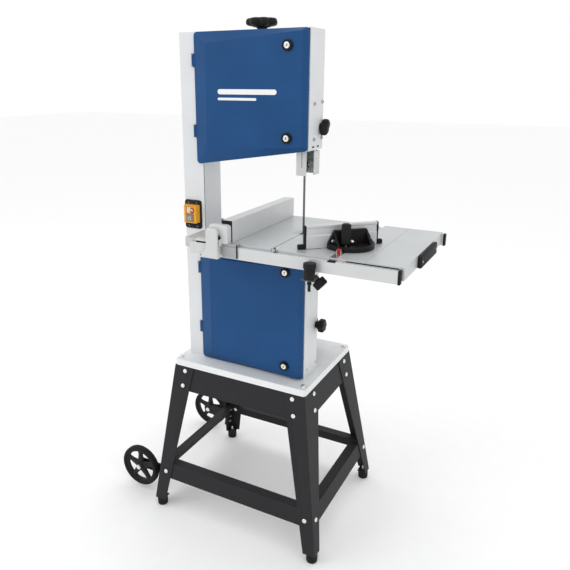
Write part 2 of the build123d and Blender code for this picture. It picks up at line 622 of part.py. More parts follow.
# ---------------------------------------------------------------- table
def table():
    x0, x1 = TABLE_X
    y0, y1 = TABLE_Y
    top = block(x0, x1, y0, y1, TABLE_TOP - TABLE_T, TABLE_TOP)
    for a in ((x0, x1, y0, y0 + 7), (x0, x1, y1 - 7, y1), (x0, x0 + 7, y0, y1), (x1 - 7, x1, y0, y1)):
        top += block(*a, TABLE_TOP - SKIRT_H, TABLE_TOP - 1)
    for y in (-60, 150):
        top += block(x0, x1, y, y + 6, TABLE_TOP - SKIRT_H, TABLE_TOP - 1)
    for x in (200, 520, 590):
        top += block(x, x + 6, y0, y1, TABLE_TOP - 20, TABLE_TOP - 1)
    top -= block(BLADE_X - 95, BLADE_X + 75, 0, 96, TABLE_TOP - 40, TABLE_TOP - TABLE_T)
    top += block(SLOT_X - 16, SLOT_X + 16, y0, y1, TABLE_TOP - 15, TABLE_TOP - 1)
    top -= block(SLOT_X - SLOT_W / 2, SLOT_X + SLOT_W / 2, y0 - 1, y1 + 1, TABLE_TOP - SLOT_H, TABLE_TOP + 1)
    insert_at = (BLADE_X, WHEEL_Y)
    top -= rod((*insert_at, TABLE_TOP - 50), (*insert_at, TABLE_TOP + 1), 28)
    top -= rod((*insert_at, TABLE_TOP - 3.1), (*insert_at, TABLE_TOP + 1), 34.1)
    top -= block(BLADE_X - 1.2, BLADE_X + 1.2, y0 - 1, WHEEL_Y, TABLE_TOP - 50, TABLE_TOP + 1)
    for y in (-110, 200):
        top -= rod((450, y, TABLE_TOP - 17.5), (x1 + 2, y, TABLE_TOP - 17.5), 8.3)
    parts["table_main"] = top
    insert = rod((*insert_at, TABLE_TOP - 3), (*insert_at, TABLE_TOP), 34)
    insert -= block(BLADE_X - 4, BLADE_X + 4, -40, WHEEL_Y + 14, TABLE_TOP - 5, TABLE_TOP + 1)
    parts["table_insert"] = insert


def table_extension():
    x0 = TABLE_X[1] + 0.6
    y0, y1 = TABLE_Y
    top = block(x0, EXT_X1, y0, y1, TABLE_TOP - TABLE_T, TABLE_TOP)
    depth = 33
    for a in ((x0, EXT_X1, y0, y0 + 6), (x0, EXT_X1, y1 - 6, y1), (EXT_X1 - 6, EXT_X1, y0, y1)):
        top += block(*a, TABLE_TOP - depth, TABLE_TOP - 1)
    for y in (-110, 200):
        top += rod((480, y, TABLE_TOP - 17.5), (EXT_X1 - 3, y, TABLE_TOP - 17.5), 8.0)
    parts["table_extension"] = top
    grip = block(EXT_X1 + 0.05, EXT_X1 + 11, -36, 136, TABLE_TOP - 35, TABLE_TOP - 2)
    grip = fillet(grip.faces().sort_by(Axis.X)[-1].edges(), 5)
    grip -= block(EXT_X1, EXT_X1 + 6, -12, 112, TABLE_TOP - 40, TABLE_TOP - 20)
    parts["extension_grip"] = grip


def table_rails():
    front = block(*RAIL_X, -169, -157, *RAIL_Z)
    front -= block(RAIL_X[0] - 1, RAIL_X[1] + 1, -170, -165, 963, 970)
    front -= block(SLOT_X - 11.5, SLOT_X + 11.5, -170, -156, TABLE_TOP - 9.2, RAIL_Z[1] + 1)
    for x in (170, 400, 610):
        front += block(x - 8, x + 8, -157.5, -156.05, 966, 980)
    rear = block(RAIL_X[0], REAR_RAIL_RIGHT, 245, 257, *RAIL_Z)
    rear -= block(SLOT_X - 11.5, SLOT_X + 11.5, 244, 258, TABLE_TOP - 9.2, RAIL_Z[1] + 1)
    for x in (170, 400, 610):
        rear += block(x - 8, x + 8, 244.05, 245.5, 966, 980)
    parts["table_rails"] = group([front, rear])
    caps = []
    for y0, x0 in ((-170, RAIL_X[1]), (244.6, REAR_RAIL_RIGHT)):
        caps.append(block(x0 + 0.05, x0 + 7, y0, y0 + 13.4, RAIL_Z[0] - 1, RAIL_Z[1] + 1))
    parts["rail_end_caps"] = group([fillet(c.faces().sort_by(Axis.X)[-1].edges(), 2) for c in caps])


def trunnion():
    # half disc under the table, centred on the blade at the table's surface, and its saddle
    def disc(radius, half_width):
        plate = extrude(front_plane(TRUNNION_Y) * Circle(radius), amount=half_width, both=True)
        return Pos(BLADE_X, 0, TABLE_TOP) * plate
    half = disc(TRUNNION_R, 5)
    half -= block(200, 600, 0, 200, TABLE_TOP - TABLE_T - 0.05, TABLE_TOP + 100)
    slot_arc = SlotArc(CenterArc((0, 0), TRUNNION_R - 16, -135, 90), 9)
    half -= Pos(BLADE_X, 0, TABLE_TOP) * extrude(front_plane(TRUNNION_Y) * slot_arc, amount=20, both=True)
    parts["table_brackets"] = group([half, clamp_bracket()])
    saddle = block(330, 411, TRUNNION_Y - 6.2, TRUNNION_Y + 6.2, LOWER_TOP + 0.1, 938)
    parts["trunnion_saddle"] = saddle - disc(TRUNNION_R + 0.4, 20)


def clamp_bracket():
    # sheet bracket under the table's front edge that carries both knobs
    plate = block(488, 508, -156, -153, 918, 963)
    plate += block(488, 520, CLAMP_Y - 9, -153, 932, 935)
    plate -= rod((CLAMP_X, CLAMP_Y, 925), (CLAMP_X, CLAMP_Y, 940), 4.2)
    plate += rod(TILT_KNOB - TILT_KNOB_AXIS * 9, TILT_KNOB + TILT_KNOB_AXIS * 4, 9)
    return plate - rod(TILT_KNOB - TILT_KNOB_AXIS * 2, TILT_KNOB + TILT_KNOB_AXIS * 10, 4.3)


def table_knobs():
    # upright clamp handle and the leaning lock knob under the table's front edge
    handle = Pos(CLAMP_X, CLAMP_Y, 935.4) * ribbed_knob(14.5, 33, 14)
    handle += Pos(CLAMP_X, CLAMP_Y, 966) * extrude(RegularPolygon(17, 8), amount=13)
    handle += rod((CLAMP_X, CLAMP_Y, 903), (CLAMP_X, CLAMP_Y, 937), 3.9)
    parts["rail_clamp_handle"] = handle
    knob = Plane(origin=TILT_KNOB + TILT_KNOB_AXIS * 4.4, z_dir=TILT_KNOB_AXIS) * ribbed_knob(18, 21, 16)
    parts["tilt_lock_knob"] = knob + rod(TILT_KNOB, TILT_KNOB + TILT_KNOB_AXIS * 5, 4.0)


# ---------------------------------------------------------------- rip fence
def fence():
    low = TABLE_TOP + 0.6
    body = block(198, 238, -182, -169.5, 960, 1004)
    body += block(198, 238, -174, -150, low + 0.4, 1034)
    body += block(198, 238, -182, -156.8, RAIL_Z[1] + 0.5, 1004)
    body += block(158, 200, -180, -158, RAIL_Z[1] + 0.5, 998)
    body -= block(190, 245, -157, -140, 900, low)
    parts["fence_carriage"] = body
    beam = block(228, FENCE_RIGHT, -149.9, 236, low, low + 60)
    beam -= block(231, FENCE_RIGHT - 3, -160, 250, low + 3, low + 28)
    beam -= block(231, FENCE_RIGHT - 3, -160, 250, low + 32, low + 57)
    parts["fence_beam"] = beam
    lever = extruded_y([(188, 954), (241, 954), (238, 972), (238, 1032), (200, 1032), (200, 985), (197, 968)],
                       2, -193, -183)
    lever += block(205, 233, -186, -179.5, 1012, 1028)
    lever -= rod((180, -180, 1020), (250, -180, 1020), 3.1)
    lever = lever - block(180, 250, -182.4, -179, 900, 1011)
    parts["fence_lever"] = lever


# ---------------------------------------------------------------- mitre gauge
def mitre_bar():
    top = TABLE_TOP - 0.3
    knob_y = MITRE_Y - KNOB_ORBIT
    pointer_y = MITRE_Y - 78
    bar = block(SLOT_X - 9.3, SLOT_X + 9.3, -156, 144, top - 7.8, top)
    bar += rod((SLOT_X, MITRE_Y, top - 1), (SLOT_X, MITRE_Y, TABLE_TOP + 11), 5.0)
    bar += rod((SLOT_X, knob_y, top - 1), (SLOT_X, knob_y, TABLE_TOP + 22), 3.6)
    bar += block(SLOT_X - 7, SLOT_X + 7, pointer_y - 4, pointer_y + 5, top - 1, TABLE_TOP + 9)
    tip = [(SLOT_X - 5, pointer_y + 4, TABLE_TOP + 7), (SLOT_X + 5, pointer_y + 4, TABLE_TOP + 7),
           (SLOT_X, pointer_y + 13.5, TABLE_TOP + 7)]
    return bar + slab(tip, (0, 0, 1), 2)


def mitre_head():
    # half-round plate with a hub, a curved slot for the clamp knob and an upright back flange
    plate = extrude(Circle(63) - Pos(0, 74) * Rectangle(200, 140), amount=11)
    groove = Circle(KNOB_ORBIT + 14) - Circle(KNOB_ORBIT - 14) - Pos(0, 60) * Rectangle(200, 140)
    plate -= Pos(0, 0, 8) * extrude(groove, amount=30)
    plate += extrude(Circle(18) - Pos(0, 76) * Rectangle(200, 140), amount=15)
    plate += block(-58, 58, -4, 6, 0, 41)
    plate -= rod((0, 0, -1), (0, 0, 40), 5.3)
    return plate - extrude(SlotArc(CenterArc((0, 0), KNOB_ORBIT, -152, 124), 8.6), amount=40)


def mitre_gauge():
    low = TABLE_TOP + 0.5
    place = Pos(SLOT_X, MITRE_Y, low) * Rot(0, 0, MITRE_ANGLE)
    parts["mitre_bar"] = mitre_bar()
    parts["mitre_head"] = place * mitre_head()
    face = block(-125, 84, 6.1, 21, 0.4, 61.4)
    face -= block(-126, 85, 15, 22, 28, 33)
    parts["mitre_fence"] = place * (face - block(-126, 85, 6, 9, 36, 54))
    knob_y = MITRE_Y - KNOB_ORBIT
    knob = Pos(SLOT_X, knob_y, low + 13) * ribbed_knob(12.5, 57, 12)
    parts["mitre_knob"] = knob - rod((SLOT_X, knob_y, TABLE_TOP), (SLOT_X, knob_y, TABLE_TOP + 23), 3.9)


# ---------------------------------------------------------------- switch and extraction
def electrics():
    plate = extruded_y([(2, 975), (62, 975), (62, 1064), (2, 1064)], 9, -5, -0.1)
    parts["switch_plate"] = plate
    body = extruded_y([(14, 996), (56, 996), (56, 1051), (14, 1051)], 3, -24, -5.1)
    openings = (block(19, 47, -30, -8, 1024, 1047), block(19, 47, -30, -8, 1000, 1022))
    for opening in openings:
        body -= opening
    parts["switch_body"] = body
    start = block(19.4, 46.6, -22, -12, 1024.4, 1046.6)
    stop = block(19.4, 46.6, -25.5, -12, 1000.4, 1021.6)
    parts["start_button"] = start
    parts["stop_button"] = stop
    gland = rod((0, GLAND_Y, GLAND_Z), (-14, GLAND_Y, GLAND_Z), 11)
    gland += rod((0, GLAND_Y, GLAND_Z), (3, GLAND_Y, GLAND_Z), 8)
    gland -= rod((-20, GLAND_Y, GLAND_Z), (10, GLAND_Y, GLAND_Z), 4)
    parts["cable_gland"] = gland
    side = block(-6, -0.1, 40, 54, 1114, 1192)
    side = fillet(side.edges().filter_by(Axis.Y).group_by(Axis.X)[0], 4)
    hooks = [side]
    for z, tip in ((972, -32), (1216, 34)):
        hook = block(40, 52, COLUMN_D + 0.1, COLUMN_D + 50, z, z + 6)
        hook += block(40, 52, COLUMN_D + 44, COLUMN_D + 50, min(z, z + tip), max(z + 6, z + tip))
        hook += block(40, 52, COLUMN_D + 0.1, COLUMN_D + 5, z - 14, z + 22)
        hooks.append(hook)
    parts["cable_hooks"] = group(hooks)
    y0 = HOUSING_D + 0.1
    port = tube((PORT_X, y0, PORT_Z), (PORT_X, y0 + 48, PORT_Z), PORT_R, PORT_R - 3.5)
    port += tube((PORT_X, y0, PORT_Z), (PORT_X, y0 + 4, PORT_Z), PORT_R + 8, PORT_R - 3.5)
    parts["dust_port"] = port


stand()
transport_gear()
base_plate()
column()
upper_housing()
lower_housing()
fasteners()
doors()
drive()
wheel_carriage()
guides()
table()
table_extension()
table_rails()
trunnion()
table_knobs()
fence()
mitre_gauge()
electrics()

# ---------------------------------------------------------------- place and write
whole = Compound(children=[s for shape in parts.values() for s in shape.solids()]).bounding_box()
origin = Vector((whole.min.X + whole.max.X) / 2, (whole.min.Y + whole.max.Y) / 2, whole.min.Z)
print("origin in the drawing frame", round(origin.X, 3), round(origin.Y, 3), round(origin.Z, 3))
print("size", round(whole.size.X, 1), round(whole.size.Y, 1), round(whole.size.Z, 1))
for name, shape in parts.items():
    solids = [Pos(-origin) * solid for solid in shape.solids()]
    export_step(solids[0] if len(solids) == 1 else Compound(children=solids), f"parts/{name}.step")
print(len(parts), "nodes")
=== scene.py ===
import bpy
import bmesh
import math
from mathutils import Matrix, Vector


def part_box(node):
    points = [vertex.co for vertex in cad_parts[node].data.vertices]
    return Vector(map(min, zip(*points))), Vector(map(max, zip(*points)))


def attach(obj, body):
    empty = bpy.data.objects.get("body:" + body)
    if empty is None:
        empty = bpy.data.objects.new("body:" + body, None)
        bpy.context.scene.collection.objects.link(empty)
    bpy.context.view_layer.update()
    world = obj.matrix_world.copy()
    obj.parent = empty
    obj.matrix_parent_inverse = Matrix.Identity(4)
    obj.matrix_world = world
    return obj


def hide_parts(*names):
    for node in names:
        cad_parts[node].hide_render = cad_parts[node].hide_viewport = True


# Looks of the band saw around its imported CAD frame. Places are in millimetres from the column's
# front left edge (x right, y back) and from the floor (z up), as the design is drawn.
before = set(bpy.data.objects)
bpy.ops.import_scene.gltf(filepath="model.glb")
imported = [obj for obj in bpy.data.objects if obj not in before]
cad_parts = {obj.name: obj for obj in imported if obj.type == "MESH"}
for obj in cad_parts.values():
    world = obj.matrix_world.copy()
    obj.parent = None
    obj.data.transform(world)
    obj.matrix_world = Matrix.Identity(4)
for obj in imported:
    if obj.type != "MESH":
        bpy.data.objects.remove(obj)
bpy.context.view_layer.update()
MM = 0.001
COLUMN_LOW = Vector(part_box("column")[0])
ORIGIN = Vector((COLUMN_LOW.x, COLUMN_LOW.y, 0.0))


def local(node):
    # lowest and highest corner of a CAD node, in millimetres from the column's edge
    low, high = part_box(node)
    return (Vector(low) - ORIGIN) / MM, (Vector(high) - ORIGIN) / MM


# ---------------------------------------------------------------- axes and places of the design
RIGHT = (1, 0, 0)
LEFT = (-1, 0, 0)
BACK = (0, 1, 0)
FRONT = (0, -1, 0)
UP = (0, 0, 1)
COLUMN_RIGHT = 73.0
HOUSING_RIGHT = 415.0
HOUSING_BACK = 93.6
LOCK_X = 359.0
WHEEL_X = 226.0
WHEEL_Z = {"upper_wheel": 1377.0, "lower_wheel": 713.5}
HUB_FACE_Y = 35.85
HUB_BOLT_R = 27.0
HAND_WHEEL = (231, 77, 1547.3)
WING_KNOB = (419.5, 77, 1291)
BELT_KNOB = (424, 84, 695)
TRACKING_KNOB = (WHEEL_X, 103, WHEEL_Z["upper_wheel"])
RAIL_CLAMP = (508, -187, 0)
TILT_KNOB = (511, -150, 925.4)
TILT_KNOB_LEAN = 42.0
BLADE_PLACE = (383.75, 46.85)
TABLE_TOP = 990.65
RAIL_ENDS = (132.4, 727.6)
MITRE_PIVOT = (557.5, -36, TABLE_TOP + 0.5)
MITRE_KNOB = (557.5, -69, 0)
MITRE_TURN = 44.2
GUARD_RIGHT = 410.4
MOTOR_AXIS = (292, 628)
MOTOR_LID = (260, 324, 126, 188)
PORT_AXIS = (134, 610)


# ---------------------------------------------------------------- materials
ROUGH_RANGE = 0.07
GRAIN_DEPTH = 0.0002
COAT_ROUGHNESS = 0.25


def surface(name, color, rough, metallic=0.0, mottle=0.05, mottle_size=0.06, grain=0.1, grain_size=0.0012,
            stretch=(1, 1, 1), wear=0.0, wear_color=(0.6, 0.6, 0.6), coat=0.0, specular=0.3):
    # painted, moulded or machined surface: cloudy tint, fine grain in bump and gloss, worn edges
    mat = bpy.data.materials.new(name)
    mat.use_nodes = True
    nodes = mat.node_tree.nodes
    links = mat.node_tree.links
    shader = nodes["Principled BSDF"]
    shader.inputs["Metallic"].default_value = metallic
    shader.inputs["Specular IOR Level"].default_value = specular
    shader.inputs["Coat Weight"].default_value = coat
    shader.inputs["Coat Roughness"].default_value = COAT_ROUGHNESS
    where = nodes.new("ShaderNodeTexCoord")
    mapping = nodes.new("ShaderNodeMapping")
    mapping.inputs["Scale"].default_value = stretch
    links.new(where.outputs["Object"], mapping.inputs["Vector"])

    def noise(size, detail, vector):
        node = nodes.new("ShaderNodeTexNoise")
        node.inputs["Scale"].default_value = 1 / size
        node.inputs["Detail"].default_value = detail
        links.new(vector, node.inputs["Vector"])
        return node.outputs["Fac"]

    cloud = noise(mottle_size, 4, where.outputs["Object"])
    fine = noise(grain_size, 3, mapping.outputs["Vector"])
    tint = nodes.new("ShaderNodeValToRGB")
    tint.color_ramp.elements[0].position = 0.3
    tint.color_ramp.elements[1].position = 0.7
    tint.color_ramp.elements[0].color = (*[c * (1 - mottle) for c in color], 1)
    tint.color_ramp.elements[1].color = (*[min(1, c * (1 + mottle)) for c in color], 1)
    links.new(cloud, tint.inputs["Fac"])
    result = tint.outputs["Color"]
    if wear:
        geometry = nodes.new("ShaderNodeNewGeometry")
        edge = nodes.new("ShaderNodeMapRange")
        edge.inputs["From Min"].default_value = 0.53
        edge.inputs["From Max"].default_value = 0.62
        edge.inputs["To Max"].default_value = wear
        links.new(geometry.outputs["Pointiness"], edge.inputs["Value"])
        mix = nodes.new("ShaderNodeMix")
        mix.data_type = "RGBA"
        mix.inputs["B"].default_value = (*wear_color, 1)
        links.new(edge.outputs["Result"], mix.inputs["Factor"])
        links.new(result, mix.inputs["A"])
        result = mix.outputs["Result"]
    links.new(result, shader.inputs["Base Color"])
    spread = nodes.new("ShaderNodeMapRange")
    spread.inputs["To Min"].default_value = rough - ROUGH_RANGE
    spread.inputs["To Max"].default_value = rough + ROUGH_RANGE
    links.new(fine, spread.inputs["Value"])
    links.new(spread.outputs["Result"], shader.inputs["Roughness"])
    bump = nodes.new("ShaderNodeBump")
    bump.inputs["Strength"].default_value = grain
    bump.inputs["Distance"].default_value = GRAIN_DEPTH
    links.new(fine, bump.inputs["Height"])
    links.new(bump.outputs["Normal"], shader.inputs["Normal"])
    return mat


def make_materials():
    made = {}

    def add(name, *args, **kwargs):
        made[name] = surface(name, *args, **kwargs)

    add("light_coat", (0.67, 0.685, 0.70), 0.44, mottle=0.02, grain=0.16, grain_size=0.0016)
    add("plate_coat", (0.77, 0.785, 0.79), 0.42, mottle=0.03, grain=0.2, grain_size=0.0018)
    add("blue_coat", (0.010, 0.064, 0.190), 0.38, mottle=0.07, mottle_size=0.12, grain=0.22,
        grain_size=0.0016, coat=0.03, specular=0.15)
    add("charcoal_coat", (0.012, 0.012, 0.0135), 0.55, mottle=0.12, grain=0.5, grain_size=0.0009,
        wear=0.2, wear_color=(0.06, 0.06, 0.065), specular=0.18)
    add("zinc", (0.78, 0.77, 0.74), 0.26, metallic=1.0, mottle=0.06, mottle_size=0.01, grain=0.1)
    add("dark_steel", (0.16, 0.16, 0.165), 0.42, metallic=0.9, mottle=0.15, mottle_size=0.02, grain=0.2,
        stretch=(1, 1, 0.06))
    add("ground_steel", (0.55, 0.55, 0.56), 0.30, metallic=1.0, mottle=0.08, mottle_size=0.02, grain=0.2)
    add("blade_steel", (0.09, 0.09, 0.095), 0.35, metallic=0.8, mottle=0.2, mottle_size=0.015, grain=0.2,
        stretch=(1, 1, 0.05))
    add("table_plate", (0.52, 0.54, 0.55), 0.36, metallic=0.35, mottle=0.035, mottle_size=0.09, grain=0.16,
        grain_size=0.0011, stretch=(1, 0.03, 1))
    add("cast_alloy", (0.46, 0.47, 0.48), 0.46, metallic=0.7, mottle=0.08, grain=0.4, grain_size=0.0016)
    add("anodised", (0.60, 0.61, 0.615), 0.36, metallic=0.3, mottle=0.02, grain=0.18, grain_size=0.001,
        stretch=(0.03, 1, 1))
    add("anodised_long", (0.60, 0.61, 0.615), 0.36, metallic=0.3, mottle=0.02, grain=0.18, grain_size=0.001,
        stretch=(1, 0.03, 1))
    add("white_enamel", (0.58, 0.585, 0.585), 0.36, mottle=0.02, grain=0.12, grain_size=0.0018, coat=0.1)
    add("grey_casting", (0.36, 0.37, 0.375), 0.42, mottle=0.05, metallic=0.2, grain=0.3, grain_size=0.0014)
    add("dark_casting", (0.075, 0.078, 0.082), 0.46, mottle=0.08, grain=0.3, grain_size=0.0014, specular=0.25)
    add("black_plastic", (0.010, 0.010, 0.011), 0.42, mottle=0.2, grain=0.35, grain_size=0.0007,
        specular=0.16)
    add("soft_black", (0.012, 0.012, 0.013), 0.62, mottle=0.2, grain=0.45, grain_size=0.0008, specular=0.14)
    add("wheel_plastic", (0.016, 0.016, 0.017), 0.50, mottle=0.15, grain=0.4, grain_size=0.0009,
        specular=0.16)
    add("tyre_rubber", (0.015, 0.015, 0.015), 0.70, mottle=0.2, grain=0.6, grain_size=0.0014, specular=0.15)
    add("shadow_gap", (0.008, 0.008, 0.009), 0.8, mottle=0.2, grain=0.2, specular=0.1)
    add("guide_green", (0.36, 0.41, 0.385), 0.45, metallic=0.2, mottle=0.08, grain=0.2)
    add("motor_coat", (0.028, 0.029, 0.032), 0.50, mottle=0.12, grain=0.5, grain_size=0.0014, specular=0.2)
    add("yellow_plastic", (0.80, 0.36, 0.020), 0.38, mottle=0.05, grain=0.25, grain_size=0.0009)
    add("cream_plastic", (0.66, 0.57, 0.40), 0.36, mottle=0.06, mottle_size=0.01, grain=0.2)
    add("grey_button", (0.20, 0.21, 0.22), 0.36, mottle=0.08, mottle_size=0.01, grain=0.2)
    add("signal_red", (0.42, 0.018, 0.012), 0.35, mottle=0.1, mottle_size=0.01, grain=0.2)
    add("signal_orange", (0.75, 0.20, 0.03), 0.40, mottle=0.05, grain=0.2)
    add("lime_dot", (0.42, 0.50, 0.06), 0.40, mottle=0.05, grain=0.2)
    add("white_print", (0.80, 0.81, 0.82), 0.42, mottle=0.02, grain=0.1)
    add("tick_ink", (0.10, 0.10, 0.11), 0.5, mottle=0.05, grain=0.1)
    return made


MAT = make_materials()
CAD_FINISH = {
    "light_coat": ("column", "upper_housing", "lower_housing"),
    "plate_coat": ("base_plate",),
    "blue_coat": ("upper_door", "lower_door"),
    "charcoal_coat": ("stand_legs", "stand_rails", "wheel_brackets"),
    "zinc": ("fasteners", "lower_shaft"),
    "dark_steel": ("door_hinge_pins", "trunnion_saddle", "lower_guide"),
    "ground_steel": ("wheel_carriage", "mitre_bar"),
    "dark_casting": ("table_brackets",),
    "blade_steel": ("saw_blade",),
    "table_plate": ("table_main", "table_extension"),
    "cast_alloy": ("upper_wheel", "lower_wheel", "motor_pulley", "table_insert"),
    "anodised": ("table_rails",),
    "anodised_long": ("fence_beam",),
    "white_enamel": ("blade_guard",),
    "guide_green": ("guide_post", "upper_guide"),
    "motor_coat": ("motor",),
    "tyre_rubber": ("upper_tyre", "lower_tyre", "drive_belt", "levelling_feet"),
    "black_plastic": ("cable_gland", "cable_hooks", "dust_port", "rail_end_caps", "upper_door_lock_top",
                      "upper_door_lock_bottom", "lower_door_lock_top", "lower_door_lock_bottom"),
}


def finish_cad():
    for finish, names in CAD_FINISH.items():
        for name in names:
            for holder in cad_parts[name].material_slots:
                holder.material = MAT[finish]


# ---------------------------------------------------------------- mesh tools
def basis(axis):
    # two unit vectors square to axis, the first as level as it can be
    w = Vector(axis).normalized()
    u = Vector((1, 0, 0)) if abs(w.x) < 0.9 else Vector((0, 1, 0))
    u = (u - w * u.dot(w)).normalized()
    return u, w.cross(u), w


class Shape:
    """Collects closed solids, in millimetres, and turns them into one piece."""

    def __init__(self, place=None):
        self.bm = bmesh.new()
        self.place = place or Matrix.Identity(4)

    def skin(self, rings, closed=False):
        # rings of equal length joined in order, with both ends capped
        loops = [[self.bm.verts.new(self.place @ Vector(p)) for p in ring] for ring in rings]
        count = len(loops[0])
        pairs = list(zip(loops, loops[1:])) + ([(loops[-1], loops[0])] if closed else [])
        for a, b in pairs:
            for k in range(count):
                m = (k + 1) % count
                self.bm.faces.new((a[k], a[m], b[m], b[k]))
        if not closed:
            self.bm.faces.new(loops[0][::-1])
            self.bm.faces.new(loops[-1])
        return self

    def box(self, x0, x1, y0, y1, z0, z1):
        ring = ((x0, y0), (x1, y0), (x1, y1), (x0, y1))
        return self.skin([[(x, y, z) for x, y in ring] for z in (z0, z1)])

    def loft(self, levels, along="z"):
        # rounded rectangles (height, u0, u1, v0, v1, radius) stacked along an axis
        def point(u, v, w):
            return {"z": (u, v, w), "y": (u, w, v), "x": (w, u, v)}[along]
        rings = []
        for w, u0, u1, v0, v1, radius in levels:
            ring = []
            for cu, cv, start in ((u1, v1, 0), (u0, v1, 90), (u0, v0, 180), (u1, v0, 270)):
                su = 1 if cu == u1 else -1
                sv = 1 if cv == v1 else -1
                for k in range(6):
                    a = math.radians(start + 18 * k)
                    ring.append(point(cu - su * radius + radius * math.cos(a),
                                      cv - sv * radius + radius * math.sin(a), w))
            rings.append(ring)
        return self.skin(rings)

    def slab(self, span, u0, u1, v0, v1, radius, along="z"):
        # one rounded rectangle, the same at both ends of a span
        return self.loft([(w, u0, u1, v0, v1, radius) for w in span], along)

    def prism(self, points, low, high, along="z"):
        def point(u, v, w):
            return {"z": (u, v, w), "y": (u, w, v), "x": (w, u, v)}[along]
        return self.skin([[point(u, v, w) for u, v in points] for w in (low, high)])

    def turned(self, profile, origin, axis, segments=48, shape=None):
        # profile of (radius, height) turned about the axis; shape(angle) scales the radius
        u, v, w = basis(axis)
        origin = Vector(origin)
        rings = []
        for radius, height in profile:
            ring = []
            for k in range(segments):
                a = 2 * math.pi * k / segments
                r = max(radius, 0.05) * (shape(a) if shape else 1)
                ring.append(origin + u * (r * math.cos(a)) + v * (r * math.sin(a)) + w * height)
            rings.append(ring)
        return self.skin(rings)

    def hoop(self, section, origin, axis, segments=64):
        # closed section of (radius, height) points turned into a ring
        u, v, w = basis(axis)
        origin = Vector(origin)
        rings = []
        for k in range(segments):
            a = 2 * math.pi * k / segments
            out = u * math.cos(a) + v * math.sin(a)
            rings.append([origin + out * r + w * h for r, h in section])
        return self.skin(rings, closed=True)

    def wire(self, points, radius, segments=10):
        rings = []
        for k, p in enumerate(points):
            ahead = Vector(points[min(k + 1, len(points) - 1)]) - Vector(points[max(k - 1, 0)])
            u, v = basis(ahead)[:2]
            angles = [2 * math.pi * s / segments for s in range(segments)]
            rings.append([Vector(p) + (u * math.cos(a) + v * math.sin(a)) * radius for a in angles])
        return self.skin(rings)

    def make(self, name, material, body, slot, bevel=0.0, angle=40, replaces=()):
        bmesh.ops.recalc_face_normals(self.bm, faces=self.bm.faces)
        self.bm.transform(Matrix.Translation(ORIGIN) @ Matrix.Scale(MM, 4))
        mesh = bpy.data.meshes.new(name)
        self.bm.to_mesh(mesh)
        self.bm.free()
        mesh.materials.append(MAT[material])
        for polygon in mesh.polygons:
            polygon.use_smooth = True
        mesh.set_sharp_from_angle(angle=math.radians(angle))
        piece = bpy.data.objects.new(name, mesh)
        bpy.context.scene.collection.objects.link(piece)
        if bevel:
            edge = piece.modifiers.new("edge", "BEVEL")
            edge.width = bevel * MM
            edge.segments = 2
            edge.limit_method = "ANGLE"
            edge.angle_limit = math.radians(angle)
            edge.use_clamp_overlap = True
        if replaces:
            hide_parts(*replaces)
        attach(piece, body)


def lobes(count, depth, sharp):
    # radius factor of a lobed grip: 1 on each lobe, 1 - depth between them
    def factor(a):
        wave = (1 + math.cos(count * a)) / 2
        return 1 - depth * (1 - wave ** sharp)
    return factor


# ---------------------------------------------------------------- frame and doors
def door_details():
    face = local("upper_door")[0].y
    stripe = Shape()
    stripe.slab((face - 0.45, face - 0.05), 141, 327, 1378, 1392, 6.9, "y")
    stripe.slab((face - 0.45, face - 0.05), 141, 265, 1362, 1369, 3.4, "y")
    stripe.make("door_stripes", "white_print", "upper_door", slot="white_paint")


def lock_faces():
    for door, end in (("upper", "top"), ("upper", "bottom"), ("lower", "top"), ("lower", "bottom")):
        node = f"{door}_door_lock_{end}"
        body = f"{door}_lock_{end}"
        low, high = local(node)
        z = (low.z + high.z) / 2
        centre = (LOCK_X, low.y, z)
        ring = Shape().hoop([(8.6, -0.1), (9.6, -1.2), (12.6, -1.4), (14.2, 0.6), (13.8, 1.4), (8.6, 1.4)],
                            centre, BACK, 48)
        ring.make(node + "_rim", "black_plastic", body, slot="black_plastic")
        dish = Shape().turned([(8.4, 0.6), (8.2, -0.5), (6.4, -1.2), (4.0, -0.5), (3.4, -1.6), (0.5, -1.9)],
                              centre, BACK, 40)
        dish.make(node + "_disc", "zinc", body, slot="zinc")
        # dark bar on each lock disc: painted shade standing in for the shade inside the key slot
        mark = Shape().box(LOCK_X - 1.1, LOCK_X + 1.1, low.y - 2.2, low.y - 1.2, z - 3.2, z + 3.2)
        mark.make(node + "_slot", "shadow_gap", body, bevel=0.3, slot="black_plastic")


